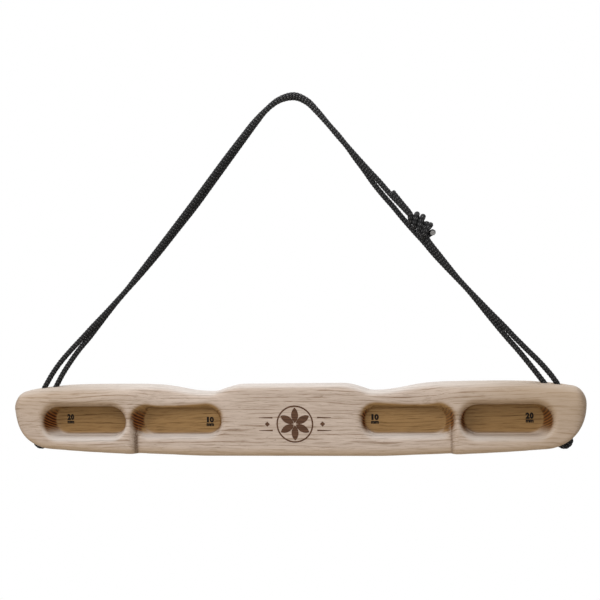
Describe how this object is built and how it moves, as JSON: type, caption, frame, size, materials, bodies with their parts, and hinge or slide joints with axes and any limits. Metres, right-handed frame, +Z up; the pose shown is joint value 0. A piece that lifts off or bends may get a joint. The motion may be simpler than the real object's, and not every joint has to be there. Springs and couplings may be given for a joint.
{
  "type": "portable climbing hangboard",
  "caption": "Hanging training board for climbers: a shaped beech bar with finger pockets and rounded holds, carried at both ends by a knotted loop of cord.",
  "frame": {"origin": "the point under the top of the cord loop, where it rests on whatever the board is hung from", "axes": "+X along the board to its right end, +Y away from the climber, from the holds to the flat back, +Z up"},
  "size_m": [0.577, 0.04, 0.3619],
  "materials": {
    "beech": "sanded, lightly oiled",
    "cord": "braided polyester sheath",
    "marking": "printed ink"
  },
  "bodies": {
    "sling": {"cord_outer_upper": "cord", "cord_outer_lower": "cord", "cord_inner": "cord", "cord_knot": "cord"},
    "board": {"board": "beech", "cord_loop_left": "cord", "cord_loop_right": "cord"}
  },
  "joints": [
    {"name": "board_tilt", "type": "hinge", "parent": "sling", "child": "board", "pos_m": [-0.0103, 0, -0.2847], "axis": [1, 0, 0], "range_deg": [-30, 30]}
  ]
}
